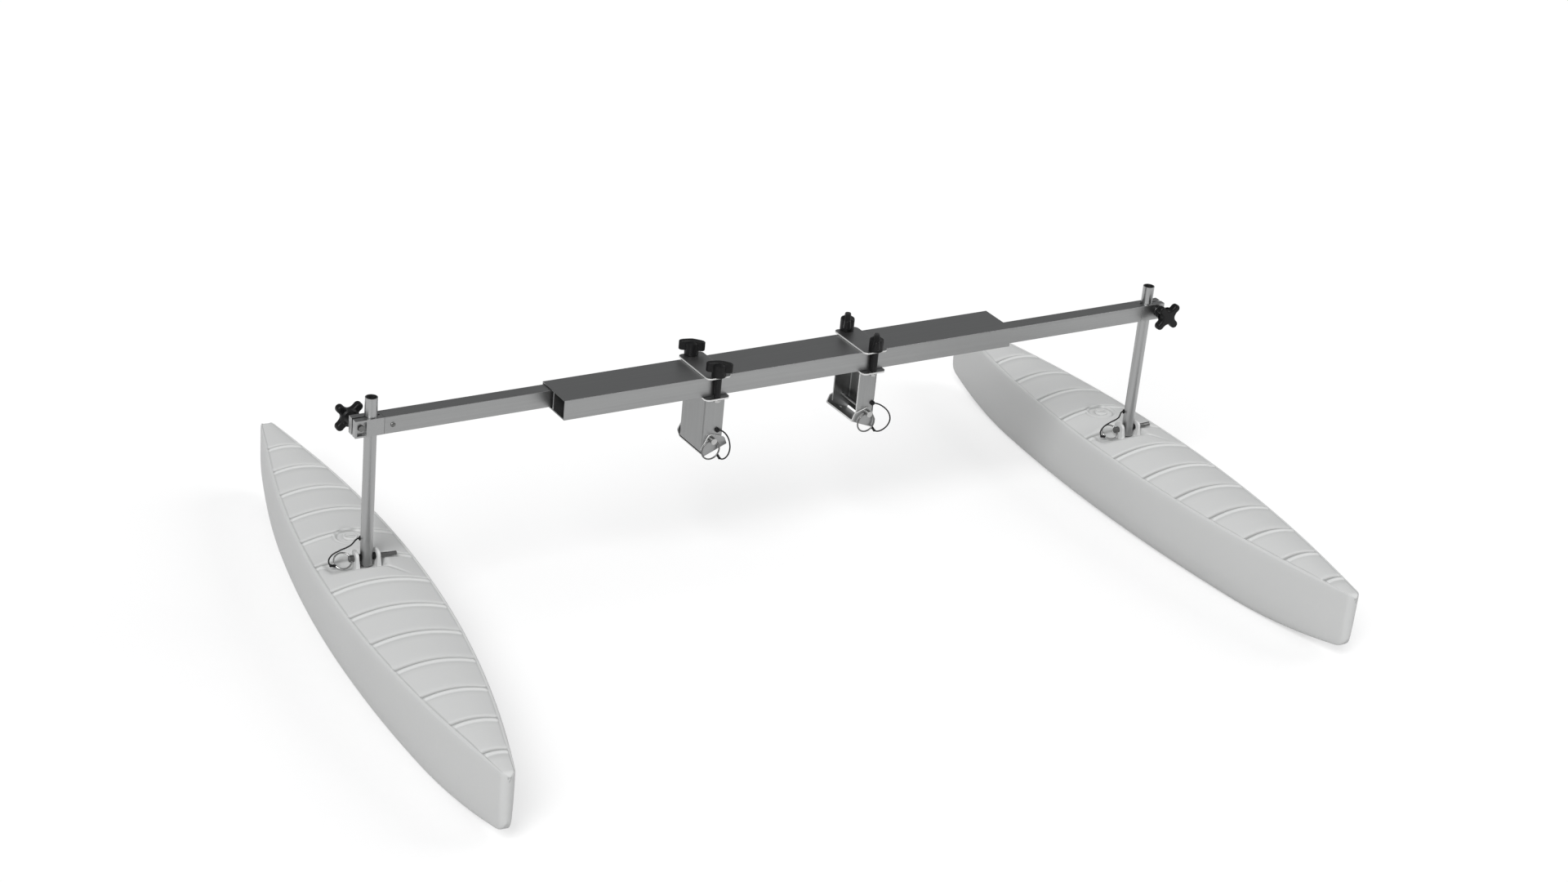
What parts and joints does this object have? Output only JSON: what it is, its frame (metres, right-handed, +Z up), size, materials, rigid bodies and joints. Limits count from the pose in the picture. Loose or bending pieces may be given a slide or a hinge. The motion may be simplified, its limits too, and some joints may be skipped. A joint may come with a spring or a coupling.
{
  "type": "kayak outrigger",
  "caption": "Outrigger with a telescoping cross beam, a clamped post and hollow float at each end, and pinned brackets for the deck of a kayak.",
  "frame": {"origin": "on the ground under the middle of the whole outrigger", "axes": "+X along the cross beam to the right-hand float, +Y towards the stern, +Z up"},
  "size_m": [1.8202, 1.3452, 0.4661],
  "materials": {
    "aluminium": "satin anodised",
    "steel": "polished stainless",
    "black_plastic": "satin black",
    "hull_plastic": "light grey, lightly textured",
    "cable": "black coating"
  },
  "bodies": {
    "beam": {"center_tube": "aluminium", "left_arm_guide": "black_plastic", "left_arm_liner": "black_plastic", "right_arm_guide": "black_plastic", "right_arm_liner": "black_plastic"},
    "left_arm": {"left_arm_tube": "aluminium", "left_post_clamp": "aluminium", "left_rivet": "steel", "left_clamp_bolt": "steel", "left_clamp_washer": "steel"},
    "left_star_knob": {"left_star_knob": "black_plastic"},
    "left_post": {"left_post": "aluminium", "left_post_bush_head": "black_plastic", "left_post_bush_tip": "black_plastic"},
    "left_float": {"left_float": "hull_plastic", "left_drain_plug": "hull_plastic"},
    "left_float_pin": {"left_float_pin": "steel", "left_float_pin_ring": "steel", "left_float_lanyard": "cable"},
    "left_bracket": {"left_deck_bracket": "aluminium", "left_top_plate": "aluminium", "left_front_stud": "steel", "left_rear_stud": "steel", "left_front_sleeve": "black_plastic", "left_rear_sleeve": "black_plastic"},
    "left_front_wing_knob": {"left_front_wing_knob": "black_plastic"},
    "left_rear_wing_knob": {"left_rear_wing_knob": "black_plastic"},
    "left_deck_plate": {"left_deck_plate": "aluminium"},
    "left_deck_pin": {"left_deck_pin": "steel", "left_deck_pin_ring": "steel", "left_deck_lanyard": "cable"},
    "right_arm": {"right_arm_tube": "aluminium", "right_post_clamp": "aluminium", "right_rivet": "steel", "right_clamp_bolt": "steel", "right_clamp_washer": "steel"},
    "right_star_knob": {"right_star_knob": "black_plastic"},
    "right_post": {"right_post": "aluminium", "right_post_bush_head": "black_plastic", "right_post_bush_tip": "black_plastic"},
    "right_float": {"right_float": "hull_plastic", "right_drain_plug": "hull_plastic"},
    "right_float_pin": {"right_float_pin": "steel", "right_float_pin_ring": "steel", "right_float_lanyard": "cable"},
    "right_bracket": {"right_deck_bracket": "aluminium", "right_top_plate": "aluminium", "right_front_stud": "steel", "right_rear_stud": "steel", "right_front_sleeve": "black_plastic", "right_rear_sleeve": "black_plastic"},
    "right_front_wing_knob": {"right_front_wing_knob": "black_plastic"},
    "right_rear_wing_knob": {"right_rear_wing_knob": "black_plastic"},
    "right_deck_plate": {"right_deck_plate": "aluminium"},
    "right_deck_pin": {"right_deck_pin": "steel", "right_deck_pin_ring": "steel", "right_deck_lanyard": "cable"}
  },
  "joints": [
    {"name": "left_arm_slide", "type": "slide", "parent": "beam", "child": "left_arm", "axis": [1, 0, 0], "range_m": [-0.28, 0.28]},
    {"name": "left_star_knob_turn", "type": "hinge", "parent": "left_arm", "child": "left_star_knob", "pos_m": [-0.82203, 0.09391, 0.4145], "axis": [0, 1, 0], "continuous": true},
    {"name": "left_post_slide", "type": "slide", "parent": "left_arm", "child": "left_post", "axis": [0, 0, 1], "range_m": [-0.033, 0.19]},
    {"name": "left_float_rock", "type": "hinge", "parent": "left_post", "child": "left_float", "pos_m": [-0.80003, 0.07756, 0.1595], "axis": [0.9957, -0.0924, 0], "range_deg": [-5, 5]},
    {"name": "left_float_pin_pull", "type": "slide", "parent": "left_post", "child": "left_float_pin", "axis": [-0.9957, 0.0924, 0], "range_m": [0, 0.08]},
    {"name": "left_bracket_slide", "type": "slide", "parent": "beam", "child": "left_bracket", "axis": [1, 0, 0], "range_m": [-0.06, 0.06]},
    {"name": "left_front_wing_knob_turn", "type": "hinge", "parent": "left_bracket", "child": "left_front_wing_knob", "pos_m": [-0.16243, 0.00361, 0.43715], "axis": [0, 0, 1], "continuous": true},
    {"name": "left_rear_wing_knob_turn", "type": "hinge", "parent": "left_bracket", "child": "left_rear_wing_knob", "pos_m": [-0.16243, 0.10461, 0.43715], "axis": [0, 0, 1], "continuous": true},
    {"name": "left_deck_plate_tilt", "type": "hinge", "parent": "left_bracket", "child": "left_deck_plate", "pos_m": [-0.16243, 0.05411, 0.3085], "axis": [0, 1, 0], "range_deg": [-15, 11]},
    {"name": "left_deck_pin_pull", "type": "slide", "parent": "left_bracket", "child": "left_deck_pin", "axis": [0, -1, 0], "range_m": [0, 0.1]},
    {"name": "right_arm_slide", "type": "slide", "parent": "beam", "child": "right_arm", "axis": [1, 0, 0], "range_m": [-0.28, 0.28]},
    {"name": "right_star_knob_turn", "type": "hinge", "parent": "right_arm", "child": "right_star_knob", "pos_m": [0.83717, 0.01431, 0.4145], "axis": [0, 1, 0], "continuous": true},
    {"name": "right_post_slide", "type": "slide", "parent": "right_arm", "child": "right_post", "axis": [0, 0, 1], "range_m": [-0.033, 0.19]},
    {"name": "right_float_rock", "type": "hinge", "parent": "right_post", "child": "right_float", "pos_m": [0.81517, 0.03066, 0.1595], "axis": [1, 0, 0], "range_deg": [-5, 5]},
    {"name": "right_float_pin_pull", "type": "slide", "parent": "right_post", "child": "right_float_pin", "axis": [-1, 0, 0], "range_m": [0, 0.08]},
    {"name": "right_bracket_slide", "type": "slide", "parent": "beam", "child": "right_bracket", "axis": [1, 0, 0], "range_m": [-0.06, 0.06]},
    {"name": "right_front_wing_knob_turn", "type": "hinge", "parent": "right_bracket", "child": "right_front_wing_knob", "pos_m": [0.16957, 0.00361, 0.43715], "axis": [0, 0, 1], "continuous": true},
    {"name": "right_rear_wing_knob_turn", "type": "hinge", "parent": "right_bracket", "child": "right_rear_wing_knob", "pos_m": [0.16957, 0.10461, 0.43715], "axis": [0, 0, 1], "continuous": true},
    {"name": "right_deck_plate_tilt", "type": "hinge", "parent": "right_bracket", "child": "right_deck_plate", "pos_m": [0.16957, 0.05411, 0.3085], "axis": [0, 1, 0], "range_deg": [-11, 15]},
    {"name": "right_deck_pin_pull", "type": "slide", "parent": "right_bracket", "child": "right_deck_pin", "axis": [0, -1, 0], "range_m": [0, 0.1]}
  ]
}
